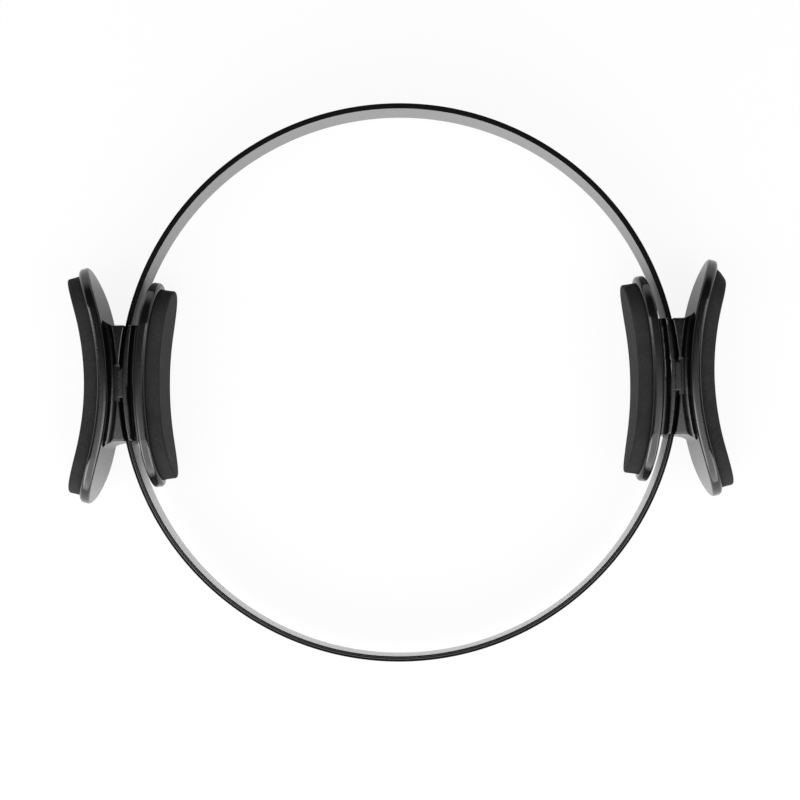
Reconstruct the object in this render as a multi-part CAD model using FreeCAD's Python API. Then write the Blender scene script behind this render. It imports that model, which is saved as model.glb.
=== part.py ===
import FreeCAD, Part
import math
import os

# A pilates ring: a springy hoop of nested strips with a padded, bolted two-half handle on each side.
# Sizes are in millimetres. The hoop's axis is Z, the handles lie on X, and the ring rests on z = 0.

# Hoop
hoop_radius = 180.0          # outer face of the outer strip
strip_thickness = 1.1
strip_width = 30.0
strip_gap = 0.07             # glue line between neighbouring strips
strip_end_gap = 2.0          # butt gap between the two ends of a strip

# Handle shells: saddle plates with a rolled rim
shell_depth = 60.0           # across the ring, along its axis
plate_thickness = 7.0
rim_back_round = 1.9         # edge of the plate towards the hoop
rim_face_round = 2.7         # edge of the plate towards the pad
outer_shell_length = 157.0   # along the curve of the plate
inner_shell_length = 134.5
outer_saddle_radius = 193.5  # back of the outer plate, hollow away from the hoop
inner_saddle_radius = 253.5  # back of the inner plate, hollow towards the ring's centre
outer_standoff = 5.6         # from the hoop's outer face to the outer plate's back, at the waist
inner_standoff = 8.0         # from the hoop's inner face to the inner plate's back, at the waist

# Clamp neck on the back of each plate
neck_length = 74.5
neck_setback = 7.25          # from the front of the shell to the front of the neck
neck_corner = 1.5
neck_cove = 2.1              # where the neck runs into the plate
hollow_width = 4.4           # valley between the front of a neck and the back of its plate
hollow_depth = 4.4
hollow_round = 2.1           # foot of the valley, on the neck's side
ridge_round = 1.5            # edge of the neck's front along the valley
flare_radius = 12.0          # hollow flare of the outer neck's two ends
flare_turn = 52.0            # degrees that a flare turns before it runs straight on into the plate
flare_sink = 0.4             # how far the curved stretch of a flare runs into the plate
channel_lip = 0.5            # how far each neck's wall reaches past the face of the hoop
lip_round = 0.7
channel_clearance = 0.2      # between a neck and the face of the hoop
channel_side_clearance = 0.3  # between a neck and the edge of the hoop

# Locating tab of the inner half, in the notch of the outer half
tab_length = 18.8
tab_reach = 0.8              # past the outer face of the hoop
tab_setback = 1.0            # below the front of the neck
tab_root = 2.0               # sunk into the inner half's neck
tab_round = 0.8
notch_end_clearance = 2.4
notch_floor_clearance = 2.0
notch_side_clearance = 0.2

# Foam pads and their seats
pad_inset = 4.0              # from the rim of the shell
pad_thickness = 9.7
pad_edge_round = 1.4
pad_clearance = 0.2
seat_recess = 1.2

# Cored pockets under the pads
core_wall = 2.6              # left behind a pocket
core_margin = 3.2            # from the wall of the seat
rib_thickness = 2.2
rib_pitch = 19.0
boss_diameter = 13.0

# Through-screws and nuts
screw_spacing = 44.0
screw_diameter = 3.9
screw_tip_reach = 0.8        # past the nut
screw_hole_diameter = 4.5
strip_hole_diameter = 5.2
head_diameter = 8.0
head_height = 2.6
head_round = 1.0
head_clearance = 0.3
head_wall = 10.0             # plastic between the head and the hoop, at the waist
slot_width = 1.1             # cross recess in the head
slot_length = 4.4
slot_depth = 1.3
nut_across_flats = 7.0
nut_thickness = 3.2
nut_bore_diameter = 4.0
nut_clearance = 0.15
nut_wall = 7.6               # plastic between the nut and the hoop, at the waist

# Worked out from the sizes above
strip_pitch = strip_thickness + strip_gap
strip_names = ["outer", "middle", "inner"]
hoop_inner_radius = hoop_radius - strip_pitch * (len(strip_names) - 1) - strip_thickness
channel_half_width = strip_width / 2 + channel_side_clearance
channel_outer_radius = hoop_radius + channel_clearance
channel_inner_radius = hoop_inner_radius - channel_clearance
neck_depth = shell_depth - 2 * neck_setback
pad_depth = shell_depth - 2 * pad_inset
outer_axis_x = hoop_radius + outer_standoff + outer_saddle_radius
inner_axis_x = hoop_inner_radius - inner_standoff - inner_saddle_radius
outer_pad_length = outer_shell_length - 2 * pad_inset
inner_pad_length = inner_shell_length - 2 * pad_inset
tab_end_radius = hoop_radius + tab_reach
screw_seat_x = hoop_inner_radius - head_wall
nut_seat_x = hoop_radius + nut_wall
mid_height = shell_depth / 2

# Working allowances of the solids: cuts run past what they cut by these amounts
overcut = 5.0
beyond = 2 * (hoop_radius + outer_saddle_radius)
largest_cove = 0.95          # of the room between a neck and the rim
tolerance = 1e-3

origin = FreeCAD.Vector(0, 0, 0)
x_axis = FreeCAD.Vector(1, 0, 0)
y_axis = FreeCAD.Vector(0, 1, 0)
z_axis = FreeCAD.Vector(0, 0, 1)


def disc(radius, depth, centre_x=0.0):
    """A cylinder along Z, centred on the hoop's middle plane."""
    return Part.makeCylinder(radius, depth, FreeCAD.Vector(centre_x, 0, -depth / 2), z_axis)


def block(low, high):
    """A box between two corners."""
    size = high - low
    return Part.makeBox(size.x, size.y, size.z, low)


def bar_along_x(diameter, start_x, end_x, y):
    """A round bar along X on the middle plane."""
    return Part.makeCylinder(diameter / 2, end_x - start_x, FreeCAD.Vector(start_x, y, 0), x_axis)


def lies_at_radius(edge, radius, centre_x=0.0):
    """Whether an edge keeps one distance from an axis along Z."""
    points = edge.discretize(5)
    return all(abs(math.hypot(p.x - centre_x, p.y) - radius) < tolerance for p in points)


def edges_at_radius(shape, radius):
    """Edges of a shape that keep one distance from the Z axis."""
    return [edge for edge in shape.Edges if lies_at_radius(edge, radius)]


def annular_sector(near_radius, far_radius, depth, start_angle, end_angle):
    """A piece of a ring about Z, from one angle to another in radians."""
    sweep = math.degrees(end_angle - start_angle)
    base = FreeCAD.Vector(0, 0, -depth / 2)
    sector = Part.makeCylinder(far_radius, depth, base, z_axis, sweep)
    sector = sector.cut(disc(near_radius, depth))
    sector.rotate(origin, z_axis, math.degrees(start_angle))
    return sector


def saddle_slab(near_radius, far_radius, length, depth, length_radius):
    """An obround slab wrapped round Z and centred on +X, with its length taken along length_radius."""
    end_round = depth / 2
    centre_angle = (length / 2 - end_round) / length_radius
    tip_angle = centre_angle + (end_round + overcut) / near_radius
    middle = annular_sector(near_radius, far_radius, depth, -centre_angle, centre_angle)
    outward = FreeCAD.Vector(math.cos(centre_angle), math.sin(centre_angle), 0)
    round_end = Part.makeCylinder(end_round, far_radius, origin, outward)
    round_end = round_end.fuse(Part.makeCylinder(end_round, overcut, outward * far_radius, outward))
    end = annular_sector(near_radius, far_radius, depth, centre_angle, tip_angle).common(round_end)
    other_end = end.mirror(origin, y_axis)
    return middle.fuse([end, other_end]).removeSplitter()


def place_outer(shape):
    """From the saddle's own frame to the outside of the right handle."""
    placed = shape.copy()
    placed.rotate(origin, z_axis, 180)
    placed.translate(FreeCAD.Vector(outer_axis_x, 0, 0))
    return placed


def place_inner(shape):
    """From the saddle's own frame to the inside of the right handle."""
    placed = shape.copy()
    placed.translate(FreeCAD.Vector(inner_axis_x, 0, 0))
    return placed


def rimmed_plate(saddle_radius, length):
    """The saddle plate with its rolled rim."""
    face_radius = saddle_radius - plate_thickness
    middle_radius = saddle_radius - plate_thickness / 2
    plate = saddle_slab(face_radius, saddle_radius, length, shell_depth, middle_radius)
    plate = plate.makeFillet(rim_back_round, edges_at_radius(plate, saddle_radius))
    return plate.makeFillet(rim_face_round, edges_at_radius(plate, face_radius))


def seat_cut(saddle_radius, pad_length):
    """The shallow seat that the pad is glued into."""
    face_radius = saddle_radius - plate_thickness
    middle_radius = saddle_radius - plate_thickness / 2
    return saddle_slab(
        face_radius - overcut,
        face_radius + seat_recess,
        pad_length + 2 * pad_clearance,
        pad_depth + 2 * pad_clearance,
        middle_radius,
    )


def core_cut(saddle_radius, pad_length):
    """Pockets under the pad, with ribs and screw bosses left standing between them."""
    face_radius = saddle_radius - plate_thickness
    middle_radius = saddle_radius - plate_thickness / 2
    length = pad_length - 2 * core_margin
    depth = pad_depth - 2 * core_margin
    far_radius = saddle_radius - core_wall
    pocket = saddle_slab(face_radius, far_radius, length, depth, middle_radius)
    near_x = face_radius * math.cos(length / 2 / middle_radius) - overcut
    low = FreeCAD.Vector(near_x, -length, -rib_thickness / 2)
    high = FreeCAD.Vector(saddle_radius, length, rib_thickness / 2)
    left_standing = [block(low, high)]
    rib_count = int(length / 2 / rib_pitch)
    for index in range(-rib_count, rib_count + 1):
        low = FreeCAD.Vector(near_x, index * rib_pitch - rib_thickness / 2, -depth)
        high = FreeCAD.Vector(saddle_radius, index * rib_pitch + rib_thickness / 2, depth)
        left_standing.append(block(low, high))
    for y in screw_rows():
        left_standing.append(bar_along_x(boss_diameter, near_x, saddle_radius, y))
    return pocket.cut(left_standing)


def screw_rows():
    """Where the two screws of a handle stand along Y."""
    return [-screw_spacing / 2, screw_spacing / 2]


def rounded_neck(outline):
    """A neck from its outline in the hoop's middle plane, with the corners of its ends rounded."""
    face = Part.Face(Part.Wire(outline))
    face.translate(FreeCAD.Vector(0, 0, -neck_depth / 2))
    neck = face.extrude(FreeCAD.Vector(0, 0, neck_depth))
    end_y = neck_length / 2 - tolerance
    end_edges = []
    for edge in neck.Edges:
        box = edge.BoundBox
        at_an_end = box.YMin > end_y or box.YMax < -end_y
        if at_an_end and box.ZLength < tolerance:
            end_edges.append(edge)
    return neck.makeFillet(neck_corner, end_edges)


def straight_outline(start_x, end_x):
    """A neck with plain ends."""
    half = neck_length / 2
    corners = [
        FreeCAD.Vector(start_x, -half, 0),
        FreeCAD.Vector(end_x, -half, 0),
        FreeCAD.Vector(end_x, half, 0),
        FreeCAD.Vector(start_x, half, 0),
    ]
    return Part.makePolygon(corners + [corners[0]]).Edges


def flared_side(start_x, y_sign):
    """One end of the outer neck: straight, then a hollow flare that runs on into the plate."""
    half = neck_length / 2
    turn = math.radians(flare_turn)
    meet_y = half + flare_radius * (1 - math.cos(turn))
    meet_x = outer_axis_x - math.sqrt(outer_saddle_radius**2 - meet_y**2) + flare_sink
    bend_x = meet_x - flare_radius * math.sin(turn)
    middle_x = bend_x + flare_radius * math.sin(turn / 2)
    middle_y = half + flare_radius * (1 - math.cos(turn / 2))
    start = FreeCAD.Vector(start_x, y_sign * half, 0)
    bend = FreeCAD.Vector(bend_x, y_sign * half, 0)
    middle = FreeCAD.Vector(middle_x, y_sign * middle_y, 0)
    meet = FreeCAD.Vector(meet_x, y_sign * meet_y, 0)
    run = overcut * FreeCAD.Vector(math.cos(turn), y_sign * math.sin(turn), 0)
    return [Part.LineSegment(start, bend), Part.Arc(bend, middle, meet), Part.LineSegment(meet, meet + run)]


def flared_outline(start_x):
    """A neck with both ends flared."""
    low = flared_side(start_x, -1)
    high = flared_side(start_x, 1)
    close_far = Part.LineSegment(low[-1].EndPoint, high[-1].EndPoint)
    close_near = Part.LineSegment(low[0].StartPoint, high[0].StartPoint)
    curves = low + [close_far] + high[::-1] + [close_near]
    return Part.sortEdges([curve.toShape() for curve in curves])[0]


def hoop_channel():
    """The space that the hoop takes in the necks, with its clearances."""
    return disc(channel_outer_radius, 2 * channel_half_width).cut(
        disc(channel_inner_radius, 2 * channel_half_width)
    )


def hollowed_neck(neck, saddle_radius, axis_x):
    """Sinks a valley with a rounded foot and a rounded edge into both fronts of a neck, along its plate."""
    start_radius = saddle_radius - overcut
    wall_radius = saddle_radius + hollow_width
    front_z = neck_depth / 2
    floor_z = front_z - hollow_depth
    foot_bulge = hollow_round * (1 - math.sqrt(0.5))
    ridge_bulge = ridge_round * (1 - math.sqrt(0.5))

    def at(radius, z):
        return FreeCAD.Vector(axis_x + radius, 0, z)

    foot_start = at(wall_radius - hollow_round, floor_z)
    foot_middle = at(wall_radius - foot_bulge, floor_z + foot_bulge)
    foot_end = at(wall_radius, floor_z + hollow_round)
    ridge_start = at(wall_radius, front_z - ridge_round)
    ridge_middle = at(wall_radius + ridge_bulge, front_z - ridge_bulge)
    ridge_end = at(wall_radius + ridge_round, front_z)
    above = front_z + overcut
    outline = [
        Part.LineSegment(at(start_radius, floor_z), foot_start),
        Part.Arc(foot_start, foot_middle, foot_end),
        Part.LineSegment(foot_end, ridge_start),
        Part.Arc(ridge_start, ridge_middle, ridge_end),
        Part.LineSegment(ridge_end, at(wall_radius + ridge_round, above)),
        Part.LineSegment(at(wall_radius + ridge_round, above), at(start_radius, above)),
        Part.LineSegment(at(start_radius, above), at(start_radius, floor_z)),
    ]
    face = Part.Face(Part.Wire([curve.toShape() for curve in outline]))
    valley = face.revolve(FreeCAD.Vector(axis_x, 0, 0), z_axis, 360)
    return neck.cut([valley, valley.mirror(origin, z_axis)])


def neck_on_plate(plate, neck, saddle_radius, axis_x, plain_ends):
    """Joins a neck to its plate with coves along the plate, and at its ends where these are plain."""
    joined = plate.fuse(neck).removeSplitter()
    room = neck_setback + hollow_depth - rim_back_round
    limit_z = shell_depth / 2 - rim_back_round - tolerance
    roots = []
    for edge in joined.Edges:
        inside_rim = max(edge.BoundBox.ZMax, -edge.BoundBox.ZMin) < limit_z
        wanted = plain_ends or edge.BoundBox.ZLength < tolerance
        if wanted and inside_rim and lies_at_radius(edge, saddle_radius, axis_x):
            roots.append(edge)
    return joined.makeFillet(min(neck_cove, largest_cove * room), roots)


def screw_holes():
    """Clearance holes for both screws of the right handle."""
    return [bar_along_x(screw_hole_diameter, 0, beyond, y) for y in screw_rows()]


def tab_pair():
    """The inner half's locating tabs, over both edges of the hoop."""
    low = FreeCAD.Vector(channel_inner_radius - tab_root, -tab_length / 2, channel_half_width)
    high = FreeCAD.Vector(tab_end_radius, tab_length / 2, neck_depth / 2 - tab_setback)
    tab = block(low, high)
    shown = []
    for edge in tab.Edges:
        box = edge.BoundBox
        at_the_end = box.XMin > high.x - tolerance and box.ZMax > low.z + tolerance
        along_the_front = box.ZMin > high.z - tolerance and box.YLength < tolerance
        if at_the_end or along_the_front:
            shown.append(edge)
    tab = tab.makeFillet(tab_round, shown)
    return [tab, tab.mirror(origin, z_axis)]


def notch_pair():
    """The outer half's notches, which take the tabs with room to spare."""
    half_length = tab_length / 2 + notch_end_clearance
    low = FreeCAD.Vector(channel_inner_radius, -half_length, channel_half_width - notch_side_clearance)
    high = FreeCAD.Vector(tab_end_radius + notch_floor_clearance, half_length, neck_depth / 2 + overcut)
    notch = block(low, high)
    return [notch, notch.mirror(origin, z_axis)]


def hex_bar(across_flats, start_x, end_x, y):
    """A hexagonal bar along X on the middle plane, flats up and down."""
    corner_radius = across_flats / math.sqrt(3)
    corners = []
    for index in range(7):
        angle = math.radians(60 * index)
        corner_y = y + corner_radius * math.cos(angle)
        corner_z = corner_radius * math.sin(angle)
        corners.append(FreeCAD.Vector(start_x, corner_y, corner_z))
    return Part.Face(Part.makePolygon(corners)).extrude(FreeCAD.Vector(end_x - start_x, 0, 0))


def outer_shell():
    """The right handle's outer half."""
    plate = place_outer(rimmed_plate(outer_saddle_radius, outer_shell_length))
    neck = rounded_neck(flared_outline(hoop_radius / 2))
    neck = neck.cut(disc(outer_saddle_radius - core_wall / 2, shell_depth, outer_axis_x))
    lip_radius = hoop_radius - channel_lip
    neck = neck.cut(disc(lip_radius, shell_depth))
    neck = neck.makeFillet(lip_round, edges_at_radius(neck, lip_radius))
    neck = neck.cut(hoop_channel())
    neck = hollowed_neck(neck, outer_saddle_radius, outer_axis_x)
    shell = neck_on_plate(plate, neck, outer_saddle_radius, outer_axis_x, False)
    cuts = notch_pair() + screw_holes()
    cuts.append(place_outer(seat_cut(outer_saddle_radius, outer_pad_length)))
    cuts.append(place_outer(core_cut(outer_saddle_radius, outer_pad_length)))
    for y in screw_rows():
        cuts.append(hex_bar(nut_across_flats + 2 * nut_clearance, nut_seat_x, outer_axis_x, y))
    return shell.cut(cuts)


def inner_shell():
    """The right handle's inner half."""
    plate = place_inner(rimmed_plate(inner_saddle_radius, inner_shell_length))
    neck = rounded_neck(straight_outline(hoop_radius / 2, hoop_radius + overcut))
    neck = neck.cut(disc(inner_saddle_radius - core_wall / 2, shell_depth, inner_axis_x))
    lip_radius = hoop_inner_radius + channel_lip
    neck = neck.common(disc(lip_radius, shell_depth))
    neck = neck.makeFillet(lip_round, edges_at_radius(neck, lip_radius))
    neck = neck.cut(hoop_channel())
    neck = hollowed_neck(neck, inner_saddle_radius, inner_axis_x)
    shell = neck_on_plate(plate, neck, inner_saddle_radius, inner_axis_x, True)
    shell = shell.fuse(tab_pair()).removeSplitter()
    cuts = screw_holes()
    cuts.append(place_inner(seat_cut(inner_saddle_radius, inner_pad_length)))
    cuts.append(place_inner(core_cut(inner_saddle_radius, inner_pad_length)))
    for y in screw_rows():
        cuts.append(bar_along_x(head_diameter + 2 * head_clearance, 0, screw_seat_x, y))
    return shell.cut(cuts)


def pad(saddle_radius, pad_length):
    """A foam pad in the saddle's own frame, with its shown edge eased."""
    floor_radius = saddle_radius - plate_thickness + seat_recess - pad_clearance
    face_radius = floor_radius - pad_thickness
    middle_radius = saddle_radius - plate_thickness / 2
    slab = saddle_slab(face_radius, floor_radius, pad_length, pad_depth, middle_radius)
    return slab.makeFillet(pad_edge_round, edges_at_radius(slab, face_radius))


def strip(index, gap_side):
    """One spring strip, open at gap_side, with its screw holes."""
    far_radius = hoop_radius - index * strip_pitch
    near_radius = far_radius - strip_thickness
    ring = disc(far_radius, strip_width).cut(disc(near_radius, strip_width))
    low_x = min(0, gap_side * beyond)
    high_x = max(0, gap_side * beyond)
    low = FreeCAD.Vector(low_x, -strip_end_gap / 2, -strip_width)
    high = FreeCAD.Vector(high_x, strip_end_gap / 2, strip_width)
    gap = block(low, high)
    holes = [bar_along_x(strip_hole_diameter, -beyond, beyond, y) for y in screw_rows()]
    return ring.cut([gap] + holes)


def screw(y):
    """A pan-head screw along X with a cross recess, head towards the ring's centre."""
    top_x = screw_seat_x - head_height
    head = bar_along_x(head_diameter, top_x, screw_seat_x, y)
    top_edge = [edge for edge in head.Edges if edge.BoundBox.XMax < top_x + tolerance]
    head = head.makeFillet(head_round, top_edge)
    slots = []
    for size_y, size_z in ((slot_length, slot_width), (slot_width, slot_length)):
        low = FreeCAD.Vector(top_x - overcut, y - size_y / 2, -size_z / 2)
        high = FreeCAD.Vector(top_x + slot_depth, y + size_y / 2, size_z / 2)
        slots.append(block(low, high))
    tip_x = nut_seat_x + nut_thickness + screw_tip_reach
    shank = bar_along_x(screw_diameter, screw_seat_x, tip_x, y)
    return head.cut(slots).fuse(shank).removeSplitter()


def nut(y):
    """A hexagon nut in its pocket in the outer half."""
    end_x = nut_seat_x + nut_thickness
    body = hex_bar(nut_across_flats, nut_seat_x, end_x, y)
    return body.cut(bar_along_x(nut_bore_diameter, nut_seat_x - overcut, end_x + overcut, y))


def export(shape, name):
    """Lifts a piece so that the ring rests on z = 0, and writes it."""
    placed = shape.copy()
    placed.translate(FreeCAD.Vector(0, 0, mid_height))
    placed.exportStep("parts/" + name + ".step")


def export_both_sides(shape, name):
    """Writes the right handle's piece, and the left handle's half a turn round the ring."""
    export(shape, "right_" + name)
    turned = shape.copy()
    turned.rotate(origin, z_axis, 180)
    export(turned, "left_" + name)


os.makedirs("parts", exist_ok=True)

for number, strip_name in enumerate(strip_names):
    side = -1 if strip_name == "middle" else 1
    export(strip(number, side), "strip_" + strip_name)

export_both_sides(outer_shell(), "outer_shell")
export_both_sides(inner_shell(), "inner_shell")
export_both_sides(place_outer(pad(outer_saddle_radius, outer_pad_length)), "outer_pad")
export_both_sides(place_inner(pad(inner_saddle_radius, inner_pad_length)), "inner_pad")
export_both_sides(Part.makeCompound([screw(y) for y in screw_rows()]), "screws")
export_both_sides(Part.makeCompound([nut(y) for y in screw_rows()]), "nuts")
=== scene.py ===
import math

import bpy
from mathutils import Matrix, Vector, noise


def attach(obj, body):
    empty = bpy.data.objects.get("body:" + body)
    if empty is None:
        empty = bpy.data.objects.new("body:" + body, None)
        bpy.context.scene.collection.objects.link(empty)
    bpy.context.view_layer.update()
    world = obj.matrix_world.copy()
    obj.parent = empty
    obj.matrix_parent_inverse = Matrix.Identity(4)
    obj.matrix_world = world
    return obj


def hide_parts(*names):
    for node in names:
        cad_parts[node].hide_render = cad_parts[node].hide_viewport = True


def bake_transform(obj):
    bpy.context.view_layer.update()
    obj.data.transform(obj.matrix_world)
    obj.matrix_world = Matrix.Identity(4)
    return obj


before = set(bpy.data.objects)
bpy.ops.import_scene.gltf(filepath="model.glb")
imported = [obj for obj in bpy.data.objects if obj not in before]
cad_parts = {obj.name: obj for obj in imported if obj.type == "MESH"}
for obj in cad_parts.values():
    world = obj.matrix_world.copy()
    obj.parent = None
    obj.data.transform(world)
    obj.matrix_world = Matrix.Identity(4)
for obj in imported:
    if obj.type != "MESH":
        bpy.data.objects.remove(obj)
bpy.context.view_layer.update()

# Sizes in metres, the same as the solids have
mm = 0.001
hoop_radius = 180.0 * mm         # outer face of the outer strip
strip_thickness = 1.1 * mm
strip_gap = 0.07 * mm            # glue line between neighbouring strips
strip_width = 30.0 * mm
strip_end_gap = 2.0 * mm         # butt gap between the two ends of a strip
shell_depth = 60.0 * mm
plate_thickness = 7.0 * mm
outer_shell_length = 157.0 * mm
inner_shell_length = 134.5 * mm
outer_saddle_radius = 193.5 * mm
inner_saddle_radius = 253.5 * mm
outer_standoff = 5.6 * mm        # from the hoop's outer face to the outer plate's back
inner_standoff = 8.0 * mm        # from the hoop's inner face to the inner plate's back
pad_inset = 4.0 * mm             # from the rim of the shell
pad_thickness = 9.7 * mm
pad_edge_round = 1.4 * mm
pad_clearance = 0.2 * mm
seat_recess = 1.2 * mm

# Worked out from the sizes above
strip_names = ("outer", "middle", "inner")
strip_pitch = strip_thickness + strip_gap
hoop_inner_radius = hoop_radius - strip_pitch * (len(strip_names) - 1) - strip_thickness
mid_height = shell_depth / 2
pad_depth = shell_depth - 2 * pad_inset
outer_pad_length = outer_shell_length - 2 * pad_inset
inner_pad_length = inner_shell_length - 2 * pad_inset
outer_axis_x = hoop_radius + outer_standoff + outer_saddle_radius
inner_axis_x = hoop_inner_radius - inner_standoff - inner_saddle_radius

# For each half of the right handle: the place of its saddle's axis on X, the way that the saddle's radius
# runs along X, the radius and the length of the pad
handle_halves = {
    "outer": (outer_axis_x, -1, outer_saddle_radius, outer_pad_length),
    "inner": (inner_axis_x, 1, inner_saddle_radius, inner_pad_length),
}

# Looks of the strips. Their outward corners are rolled over, with a radius for each of strip_names.
outward_rounds = (0.12 * mm, 0.5 * mm, 0.22 * mm)
inward_round = 0.15 * mm
corner_steps = 4
strip_step_degrees = 1.0

# Looks of the pads
pad_end_steps = 18
pad_side_steps = 30
pad_face_rows = 10
pad_round_steps = 5
pad_foot_inset = 0.35 * mm       # the cut wall draws in at the glued foot
pad_foot_height = 1.0 * mm
pad_waist_inset = 0.1 * mm       # and a little half-way up
pad_edge_waver = 0.25 * mm
pad_wavers_per_metre = 70.0
pad_crown = 0.3 * mm
pressed_reach = 24.0 * mm        # the right outer pad's far end is pressed back over this length
pressed_back = 7.0 * mm
pressed_power = 1.5              # the push grows towards the face by this power of the height

# Floor
floor_half = 4.0
floor_drop = 0.3 * mm
floor_lit_grey = 0.8             # as it lights the ring
floor_seen_grey = 0.93           # as it is seen, with its shadow
shadow_start = 0.25              # distance from the middle where the shadow begins to fade
shadow_end = 0.7
camera_share = 0.1               # of the shadow, in the camera's view
reflected_share = 0.8            # of the shadow, in reflections

# Sky, by the direction of a ray, whose x, y and z run from -1 to 1
horizon_level = 1.0
overhead_level = 0.05
sky_fade = (0.05, 0.6)           # heights between which the horizon turns into the overhead sky
fill_level = 0.15                # light of the whole sky on the ring
left_panel_level = 4.0
right_panel_level = 3.0
panel_side = (0.35, 0.6)         # how far to a side a panel begins, and where it is full
panel_far_edge = (-0.06, 0.0)    # where a panel ends towards the far side
panel_low_edge = (0.1, 0.3)      # heights between which a panel begins

# Soft box over the near side
key_place = Vector((-0.3, -0.685, 0.85))
key_target = Vector((-0.315, 0.095, 0.12))
key_width = 3.0
key_height = 2.15
key_power = 49.0

# Camera of the photograph
camera_place = Vector((17.8361, -78.5921, 1245.0138)) * mm
camera_target = Vector((0.458, -11.983, 30.0)) * mm
camera_roll = math.radians(0.6868)
camera_lens = 84.15
camera_sensor = 36.0
camera_clip_start = 0.01


def link(obj):
    """Puts a new object into the scene."""
    bpy.context.scene.collection.objects.link(obj)
    return obj


def node_material(name):
    """A new material with a Principled shader: the material, its nodes, its links and the shader."""
    material = bpy.data.materials.new(name)
    material.use_nodes = True
    nodes = material.node_tree.nodes
    return material, nodes, material.node_tree.links, nodes["Principled BSDF"]


def add_node(nodes, kind, **values):
    """A new node with some of its inputs set."""
    node = nodes.new(kind)
    for key, value in values.items():
        node.inputs[key.replace("_", " ")].default_value = value
    return node


def spread(nodes, links, source, low, high):
    """A number from 0 to 1 stretched to run from low to high."""
    stretch = add_node(nodes, "ShaderNodeMapRange", To_Min=low, To_Max=high)
    links.new(source, stretch.inputs["Value"])
    return stretch.outputs["Result"]


def faded(nodes, links, source, bounds, low, high):
    """A number that goes smoothly from low to high while the source goes from one bound to the other."""
    start, end = bounds
    step = add_node(nodes, "ShaderNodeMapRange", From_Min=start, From_Max=end, To_Min=low, To_Max=high)
    step.interpolation_type = "SMOOTHSTEP"
    links.new(source, step.inputs["Value"])
    return step.outputs["Result"]


def combined(nodes, links, operation, first, second):
    """Two numbers added or multiplied, or the larger of them."""
    node = nodes.new("ShaderNodeMath")
    node.operation = operation
    links.new(first, node.inputs[0])
    links.new(second, node.inputs[1])
    return node.outputs["Value"]


def grey_ramp(nodes, links, source, low, high):
    """A number from 0 to 1 turned into a slightly cool grey between two levels."""
    blue_share = 1.03
    ramp = nodes.new("ShaderNodeValToRGB")
    for element, level in zip(ramp.color_ramp.elements, (low, high)):
        element.color = (level, level, level * blue_share, 1)
    links.new(source, ramp.inputs["Fac"])
    return ramp.outputs["Color"]


def relief(nodes, links, shader, height, strength, distance):
    """Gives a shader fine relief from a height."""
    node = add_node(nodes, "ShaderNodeBump", Strength=strength, Distance=distance)
    links.new(height, node.inputs["Height"])
    links.new(node.outputs["Normal"], shader.inputs["Normal"])


def in_object(nodes, links, texture):
    """Lays a texture in the object's own space."""
    place = nodes.new("ShaderNodeTexCoord")
    links.new(place.outputs["Object"], texture.inputs["Vector"])
    return texture


def solid_noise(nodes, links, scale, detail, roughness):
    """Noise from 0 to 1 in the object's own space."""
    texture = add_node(nodes, "ShaderNodeTexNoise", Scale=scale, Detail=detail, Roughness=roughness)
    return in_object(nodes, links, texture).outputs["Fac"]


def shell_material():
    """Semi-gloss black moulded plastic with a fine spark-eroded grain."""
    material, nodes, links, shader = node_material("shell_plastic")
    grain = solid_noise(nodes, links, scale=1000.0, detail=3.0, roughness=0.6)
    cloud = solid_noise(nodes, links, scale=45.0, detail=3.0, roughness=0.55)
    relief(nodes, links, shader, grain, strength=0.12, distance=0.3 * mm)
    links.new(grey_ramp(nodes, links, cloud, low=0.002, high=0.004), shader.inputs["Base Color"])
    links.new(spread(nodes, links, grain, low=0.06, high=0.2), shader.inputs["Roughness"])
    shader.inputs["IOR"].default_value = 1.6
    return material


def foam_surface(nodes, links):
    """Height of the foam's cut face: open pores, with the walls of finer cells between them."""
    cell_share = 0.6
    pores = add_node(nodes, "ShaderNodeTexVoronoi", Scale=1050.0, Randomness=0.8)
    cells = solid_noise(nodes, links, scale=2300.0, detail=2.0, roughness=0.6)
    surface = nodes.new("ShaderNodeMath")
    surface.operation = "MULTIPLY_ADD"
    surface.inputs[1].default_value = cell_share
    links.new(cells, surface.inputs[0])
    links.new(in_object(nodes, links, pores).outputs["Distance"], surface.inputs[2])
    return surface.outputs["Value"]


def foam_material():
    """Matte black closed-cell foam with fine open pores on its cut faces, and painted shade darkening the
    pores.
    """
    material, nodes, links, shader = node_material("pad_foam")
    surface = foam_surface(nodes, links)
    cloud = solid_noise(nodes, links, scale=70.0, detail=3.0, roughness=0.6)
    # Base colour: darker in the recessed pores, a painted shade that follows the pore height, and varying
    # at random with cloud
    tone_and_pore_shade = combined(nodes, links, "MULTIPLY", cloud, surface)
    relief(nodes, links, shader, surface, strength=0.5, distance=0.5 * mm)
    links.new(grey_ramp(nodes, links, tone_and_pore_shade, low=0.007, high=0.027), shader.inputs["Base Color"])
    shader.inputs["Roughness"].default_value = 0.9
    shader.inputs["Specular IOR Level"].default_value = 0.25
    return material


def strip_streaks(nodes, links):
    """Fine streaks that run along a strip, from 0 to 1."""
    streaks_along = 14.0
    streaks_across = 1600.0
    run = nodes.new("ShaderNodeUVMap")
    run.uv_map = "run"
    stretch = add_node(nodes, "ShaderNodeMapping", Scale=(streaks_along, streaks_across, 1.0))
    links.new(run.outputs["UV"], stretch.inputs["Vector"])
    streaks = add_node(nodes, "ShaderNodeTexNoise", Scale=1.0, Detail=3.0, Roughness=0.55)
    links.new(stretch.outputs["Vector"], streaks.inputs["Vector"])
    return streaks.outputs["Fac"]


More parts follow.
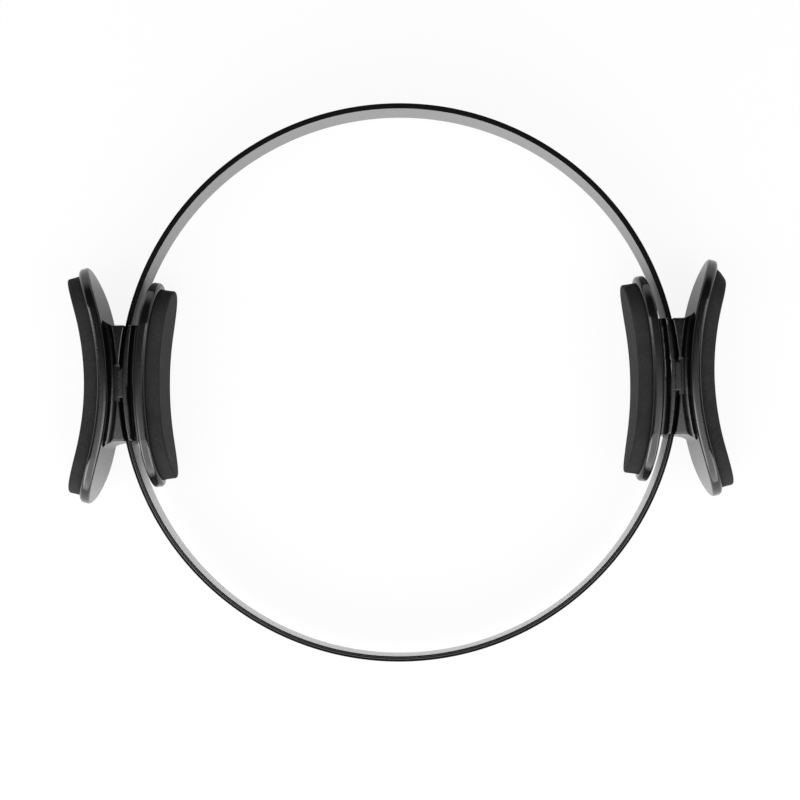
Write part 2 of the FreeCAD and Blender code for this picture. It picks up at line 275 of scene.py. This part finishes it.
def strip_face_material():
    """Satin black lacquered skin of a glass-fibre strip, with streaks along it."""
    material, nodes, links, shader = node_material("hoop_fibre")
    streaks = strip_streaks(nodes, links)
    relief(nodes, links, shader, streaks, strength=0.05, distance=0.2 * mm)
    links.new(grey_ramp(nodes, links, streaks, low=0.003, high=0.006), shader.inputs["Base Color"])
    links.new(spread(nodes, links, streaks, low=0.16, high=0.28), shader.inputs["Roughness"])
    shader.inputs["Coat Weight"].default_value = 0.4
    shader.inputs["Coat Roughness"].default_value = 0.12
    return material


def strip_edge_material():
    """Dull sawn edge of a strip, with its fibres along it."""
    material, nodes, links, shader = node_material("hoop_sawn_edge")
    streaks = strip_streaks(nodes, links)
    relief(nodes, links, shader, streaks, strength=0.3, distance=0.2 * mm)
    links.new(grey_ramp(nodes, links, streaks, low=0.001, high=0.005), shader.inputs["Base Color"])
    links.new(spread(nodes, links, streaks, low=0.5, high=0.7), shader.inputs["Roughness"])
    shader.inputs["Specular IOR Level"].default_value = 0.05
    return material


def steel_material():
    """Zinc-plated steel of the screws and nuts."""
    material, nodes, links, shader = node_material("zinc_steel")
    spangle = solid_noise(nodes, links, scale=900.0, detail=2.0, roughness=0.5)
    links.new(grey_ramp(nodes, links, spangle, low=0.45, high=0.62), shader.inputs["Base Color"])
    links.new(spread(nodes, links, spangle, low=0.25, high=0.45), shader.inputs["Roughness"])
    shader.inputs["Metallic"].default_value = 1.0
    return material


def strip_section(index):
    """A strip's cut across its run: radius, height and outward direction of each point on its corners."""
    far_radius = hoop_radius - index * strip_pitch
    near_radius = far_radius - strip_thickness
    points = []
    for side, upward, start in (("far", 1, 0), ("near", 1, 90), ("near", -1, 180), ("far", -1, 270)):
        corner = outward_rounds[index] if side == "far" else inward_round
        middle_radius = far_radius - corner if side == "far" else near_radius + corner
        middle_height = mid_height + upward * (strip_width / 2 - corner)
        for step in range(corner_steps + 1):
            turn = math.radians(start + 90 * step / corner_steps)
            direction = (math.cos(turn), math.sin(turn))
            radius = middle_radius + corner * direction[0]
            height = middle_height + corner * direction[1]
            points.append((radius, height, direction))
    return points


def sawn_faces():
    """Which faces round a section are its sawn edges and the sharp corners beside them."""
    corner = corner_steps + 1
    top_edge = range(corner - 1, 2 * corner - 1)
    low_edge = range(2 * corner, 3 * corner)
    return {*top_edge, *low_edge}


def section_run(section):
    """How far along the outline of a section each point lies."""
    run = [0.0]
    for here, there in zip(section, section[1:] + section[:1]):
        run.append(run[-1] + math.hypot(there[0] - here[0], there[1] - here[1]))
    return run


def arc_angles(middle_degrees, start, end):
    """Angles of the cuts along an arc of a strip."""
    steps = round((end - start) / strip_step_degrees)
    return [math.radians(middle_degrees + start + (end - start) * i / steps) for i in range(steps + 1)]


class StripSkin:
    """The skin of a strip, with a normal and a place on its run for each corner of a face."""

    def __init__(self, index):
        self.section = strip_section(index)
        self.points = []
        self.faces = []
        self.normals = []
        self.runs = []
        self.sawn = []

    def add_arc(self, angles):
        """Adds a stretch of the strip along an arc, closed at both ends."""
        first = len(self.points)
        for angle in angles:
            for radius, height, direction in self.section:
                self.points.append((radius * math.cos(angle), radius * math.sin(angle), height))
        last = len(self.points) - len(self.section)
        self.add_sides(first, angles)
        self.close_end(first, angles[0], -1)
        self.close_end(last, angles[-1], 1)

    def add_sides(self, first, angles):
        """Adds the faces between the cuts of an arc, whose points have numbers from first on."""
        count = len(self.section)
        run = section_run(self.section)
        edges = sawn_faces()
        for i in range(len(angles) - 1):
            here = first + i * count
            there = here + count
            for j in range(count):
                k = (j + 1) % count
                self.faces.append((here + j, there + j, there + k, here + k))
                self.sawn.append(j in edges)
                for cut, place, column in ((i, j, j), (i + 1, j, j), (i + 1, k, j + 1), (i, k, j + 1)):
                    across, up = self.section[place][2]
                    angle = angles[cut]
                    self.normals.append((across * math.cos(angle), across * math.sin(angle), up))
                    self.runs.append((angle * hoop_radius, run[column]))

    def close_end(self, first, angle, ahead):
        """Closes an end of an arc. ahead is 1 where the arc ends and -1 where it begins."""
        corners = range(first, first + len(self.section))
        facing = (-ahead * math.sin(angle), ahead * math.cos(angle), 0.0)
        self.faces.append(tuple(corners[::-ahead]))
        self.normals.extend([facing] * len(corners))
        self.runs.extend([(0.0, 0.0)] * len(corners))
        self.sawn.append(True)

    def mesh(self, name):
        """The skin as a mesh, whose second material is for the sawn faces."""
        mesh = bpy.data.meshes.new(name)
        mesh.from_pydata(self.points, [], self.faces)
        layer = mesh.uv_layers.new(name="run")
        layer.data.foreach_set("uv", [value for pair in self.runs for value in pair])
        mesh.polygons.foreach_set("material_index", [int(value) for value in self.sawn])
        mesh.shade_smooth()
        mesh.normals_split_custom_set(self.normals)
        return mesh


def strip_half(name, index, middle_degrees, has_gap):
    """Half of a strip, on one side of the ring, with the strip's butt gap at its middle if it has one."""
    quarter = 90.0
    gap = math.degrees(strip_end_gap / 2 / hoop_radius)
    arcs = [(-quarter, -gap), (gap, quarter)] if has_gap else [(-quarter, quarter)]
    skin = StripSkin(index)
    for start, end in arcs:
        skin.add_arc(arc_angles(middle_degrees, start, end))
    return link(bpy.data.objects.new(name, skin.mesh(name)))


def half_outline(length, depth, inset):
    """Half of an obround's outline, from one tip over the top to the other."""
    end_round = depth / 2 - inset
    straight = length / 2 - depth / 2
    points = []
    for step in range(pad_end_steps):
        turn = math.radians(180 - 90 * step / pad_end_steps)
        points.append((-straight + end_round * math.cos(turn), end_round * math.sin(turn)))
    for step in range(pad_side_steps + 1):
        points.append((straight * (2 * step / pad_side_steps - 1), end_round))
    for step in range(1, pad_end_steps + 1):
        turn = math.radians(90 - 90 * step / pad_end_steps)
        points.append((straight + end_round * math.cos(turn), end_round * math.sin(turn)))
    return points


def on_saddle(along, across, radius, length_radius, straight):
    """A point at a distance along and across a saddle, at a radius from its axis."""
    over = abs(along) - straight
    angle = along / length_radius
    if over > 0:
        angle = math.copysign(straight / length_radius + math.asin(over / radius), along)
    return Vector((radius * math.cos(angle), radius * math.sin(angle), across))


def pad_profile(floor_radius, face_radius):
    """Inset and radius of the loops that make a pad's wall and its eased edge."""
    wall_end = face_radius + pad_edge_round
    loops = [
        (pad_foot_inset, floor_radius),
        (0.0, floor_radius - pad_foot_height),
        (pad_waist_inset, (floor_radius + face_radius) / 2),
    ]
    for step in range(pad_round_steps + 1):
        turn = math.radians(90 * step / pad_round_steps)
        inset = pad_edge_round * (1 - math.cos(turn))
        loops.append((inset, wall_end - pad_edge_round * math.sin(turn)))
    return loops


class FoamSkin:
    """The skin of a die-cut foam pad in its seat.

    side is 1 on the right handle and -1 on the left one. pressed is how far the face's edge has been
    pushed back at the end where the run along the pad is negative.
    """

    def __init__(self, side, half, pressed):
        self.axis_x, self.facing, saddle_radius, self.length = handle_halves[half]
        self.side = side
        self.pressed = pressed
        self.floor_radius = saddle_radius - plate_thickness + seat_recess - pad_clearance
        self.face_radius = self.floor_radius - pad_thickness
        self.length_radius = saddle_radius - plate_thickness / 2
        self.points = []
        self.faces = []

    def add(self, along, across, radius):
        """Adds a point of the pad and gives its number."""
        height = max(0.0, (self.floor_radius - radius) / pad_thickness)
        nearness = max(0.0, 1 - (along + self.length / 2) / pressed_reach)
        along += self.pressed * height**pressed_power * nearness
        straight = self.length / 2 - pad_depth / 2
        point = on_saddle(along, across, radius, self.length_radius, straight)
        x = self.side * (self.axis_x + self.facing * point.x)
        y = self.side * self.facing * point.y
        self.points.append((x, y, mid_height + point.z))
        return len(self.points) - 1

    def add_loop(self, inset, radius):
        """Adds a loop of points round the pad, with the slight waver of its cut."""
        half = half_outline(self.length, pad_depth, inset)
        loop = []
        for along, across in half + [(a, -b) for a, b in half[-2:0:-1]]:
            waver = pad_edge_waver * noise.noise(Vector((along, across, radius)) * pad_wavers_per_metre)
            longer = 1 + waver / (self.length / 2)
            wider = 1 + waver / (pad_depth / 2)
            loop.append(self.add(along * longer, across * wider, radius))
        return loop

    def add_wall(self, low, high):
        """Adds the faces between two loops."""
        for i in range(len(low)):
            j = (i + 1) % len(low)
            self.faces.append((low[i], low[j], high[j], high[i]))

    def add_rows(self, loop, radius, inset, crown):
        """Adds the points inside a loop: rows across the pad, from one side of the loop to the other."""
        half = half_outline(self.length, pad_depth, inset)
        end = len(half) - 1
        rows = [[loop[0]] * (pad_face_rows + 1)]
        for i in range(1, end):
            along, across = half[i]
            row = [loop[i]]
            for k in range(1, pad_face_rows):
                share = 1 - 2 * k / pad_face_rows
                rise = crown * (1 - share**2) * min(1.0, across / (pad_depth / 2))
                row.append(self.add(along, across * share, radius - rise))
            row.append(loop[len(loop) - i])
            rows.append(row)
        rows.append([loop[end]] * (pad_face_rows + 1))
        return rows

    def close(self, rows, order):
        """Adds the faces between rows of points. order is 1 for the foot and -1 for the face."""
        for left, right in zip(rows, rows[1:]):
            for k in range(pad_face_rows):
                corners = (left[k], right[k], right[k + 1], left[k + 1])
                face = tuple(dict.fromkeys(corners))  # a triangle at the pad's two tips
                self.faces.append(face[::order])


def foam_pad(name, side, half, pressed):
    """A die-cut foam pad: a wall with an eased edge, a flat foot and a faintly crowned face."""
    skin = FoamSkin(side, half, pressed)
    profile = pad_profile(skin.floor_radius, skin.face_radius)
    loops = [skin.add_loop(inset, radius) for inset, radius in profile]
    for low, high in zip(loops, loops[1:]):
        skin.add_wall(low, high)
    skin.close(skin.add_rows(loops[0], skin.floor_radius, pad_foot_inset, 0.0), 1)
    skin.close(skin.add_rows(loops[-1], skin.face_radius, pad_edge_round, pad_crown), -1)
    mesh = bpy.data.meshes.new(name)
    mesh.from_pydata(skin.points, [], skin.faces)
    mesh.shade_smooth()
    return link(bpy.data.objects.new(name, mesh))


def build_hoop(*materials):
    """The three strips, each as two halves, one on each side of the ring."""
    for index, layer in enumerate(strip_names):
        gap_side = "left" if layer == "middle" else "right"
        for side, middle_degrees, sign in (("left", 180.0, -1), ("right", 0.0, 1)):
            half = strip_half("hoop_%s_%s" % (layer, side), index, middle_degrees, side == gap_side)
            for material in materials:
                half.data.materials.append(material)
            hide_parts("strip_" + layer)
            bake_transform(half)


def build_pads(material):
    """The four foam pads, of which the right outer one is pressed back at its far end."""
    for side, sign in (("left", -1), ("right", 1)):
        for half in handle_halves:
            name = side + "_" + half
            pressed = pressed_back if name == "right_outer" else 0.0
            pad = foam_pad(name + "_foam", sign, half, pressed)
            pad.data.materials.append(material)
            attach(pad, side + "_grip")
            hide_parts(name + "_pad")


def dress_nodes(material, *endings):
    """Gives a material to the solids whose names end in one of these words."""
    for name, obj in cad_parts.items():
        if name.endswith(endings):
            obj.data.materials.clear()
            obj.data.materials.append(material)


def seen_rays(nodes, links):
    """1 for rays from the camera and for reflected and transmitted ones, 0 for the light on surfaces."""
    path = nodes.new("ShaderNodeLightPath")
    largest = path.outputs["Is Camera Ray"]
    for kind in ("Is Glossy Ray", "Is Transmission Ray"):
        largest = combined(nodes, links, "MAXIMUM", largest, path.outputs[kind])
    return largest


def matt(nodes, grey):
    """A matt grey surface."""
    return add_node(nodes, "ShaderNodeBsdfDiffuse", Color=(grey, grey, grey, 1)).outputs["BSDF"]


def mixed(nodes, links, share, first, second):
    """A mix of two surfaces, by the share of the second one."""
    mix = nodes.new("ShaderNodeMixShader")
    for source, socket in zip((share, first, second), mix.inputs):
        links.new(source, socket)
    return mix.outputs["Shader"]


def shadow_share(nodes, links):
    """How much of the real light and shadow is seen on the floor: some near the ring, none far from it."""
    place = nodes.new("ShaderNodeTexCoord")
    far = nodes.new("ShaderNodeVectorMath")
    far.operation = "LENGTH"
    links.new(place.outputs["Object"], far.inputs[0])
    share = add_node(nodes, "ShaderNodeMapRange", From_Min=shadow_start, From_Max=shadow_end, To_Max=0.0)
    links.new(far.outputs["Value"], share.inputs["Value"])
    path = nodes.new("ShaderNodeLightPath")
    near_share = spread(nodes, links, path.outputs["Is Glossy Ray"], camera_share, reflected_share)
    links.new(near_share, share.inputs["To Min"])
    return share.outputs["Result"]


def floor_material():
    """White sweep: seen as white with a faint shadow, and lighting the ring as a pale floor."""
    material = bpy.data.materials.new("floor_white")
    material.use_nodes = True
    nodes, links = material.node_tree.nodes, material.node_tree.links
    nodes.clear()
    white = add_node(nodes, "ShaderNodeEmission", Strength=1.0).outputs["Emission"]
    seen = mixed(nodes, links, shadow_share(nodes, links), white, matt(nodes, floor_seen_grey))
    surface = mixed(nodes, links, seen_rays(nodes, links), matt(nodes, floor_lit_grey), seen)
    out = nodes.new("ShaderNodeOutputMaterial")
    links.new(surface, out.inputs["Surface"])
    return material


def build_floor():
    """A wide floor just under the ring."""
    corners = [(x * floor_half, y * floor_half, 0) for x, y in ((-1, -1), (1, -1), (1, 1), (-1, 1))]
    mesh = bpy.data.meshes.new("floor")
    mesh.from_pydata(corners, [], [(0, 1, 2, 3)])
    floor = link(bpy.data.objects.new("floor", mesh))
    floor.location.z = -floor_drop
    mesh.materials.append(floor_material())


def sky_level(nodes, links):
    """How bright the studio is in each direction."""
    place = nodes.new("ShaderNodeTexCoord")
    split = nodes.new("ShaderNodeSeparateXYZ")
    links.new(place.outputs["Generated"], split.inputs["Vector"])
    across, along, height = (split.outputs[axis] for axis in "XYZ")
    begin, full = panel_side
    left = faded(nodes, links, across, (-full, -begin), left_panel_level, 0.0)
    right = faded(nodes, links, across, (begin, full), 0.0, right_panel_level)
    near = faded(nodes, links, along, panel_far_edge, 1.0, 0.0)
    raised = faded(nodes, links, height, panel_low_edge, 0.0, 1.0)
    panels = combined(nodes, links, "ADD", left, right)
    for share in (near, raised):
        panels = combined(nodes, links, "MULTIPLY", panels, share)
    plain = faded(nodes, links, height, sky_fade, horizon_level, overhead_level)
    return combined(nodes, links, "ADD", plain, panels)


def build_world():
    """A studio that is white round the horizon and dark overhead, with a bright panel on each side."""
    world = bpy.data.worlds.new("studio")
    bpy.context.scene.world = world
    world.use_nodes = True
    nodes, links = world.node_tree.nodes, world.node_tree.links
    level = add_node(nodes, "ShaderNodeMix", A=fill_level)
    links.new(seen_rays(nodes, links), level.inputs["Factor"])
    links.new(sky_level(nodes, links), level.inputs["B"])
    background = nodes["Background"]
    background.inputs["Color"].default_value = (1, 1, 1, 1)
    links.new(level.outputs["Result"], background.inputs["Strength"])


def build_light():
    """One wide soft box over the near side, hidden from the camera."""
    light = bpy.data.lights.new("key", "AREA")
    light.shape = "RECTANGLE"
    light.size = key_width
    light.size_y = key_height
    light.energy = key_power
    key = link(bpy.data.objects.new("key", light))
    key.visible_camera = False
    turn = (key_target - key_place).to_track_quat("-Z", "Y").to_matrix().to_4x4()
    key.matrix_world = Matrix.Translation(key_place) @ turn


def build_camera():
    """The camera that the photograph was taken with, over the ring."""
    data = bpy.data.cameras.new("camera")
    data.lens = camera_lens
    data.sensor_width = camera_sensor
    data.sensor_fit = "HORIZONTAL"
    data.clip_start = camera_clip_start
    camera = link(bpy.data.objects.new("camera", data))
    forward = (camera_target - camera_place).normalized()
    right = forward.cross(Vector((math.sin(camera_roll), math.cos(camera_roll), 0))).normalized()
    up = right.cross(forward)
    turn = Matrix((right, up, -forward)).transposed().to_4x4()
    camera.matrix_world = Matrix.Translation(camera_place) @ turn
    bpy.context.scene.camera = camera


bpy.context.scene.view_settings.view_transform = "Standard"
build_camera()
build_hoop(strip_face_material(), strip_edge_material())
build_pads(foam_material())
dress_nodes(shell_material(), "_shell")
dress_nodes(steel_material(), "_screws", "_nuts")
build_floor()
build_world()
build_light()
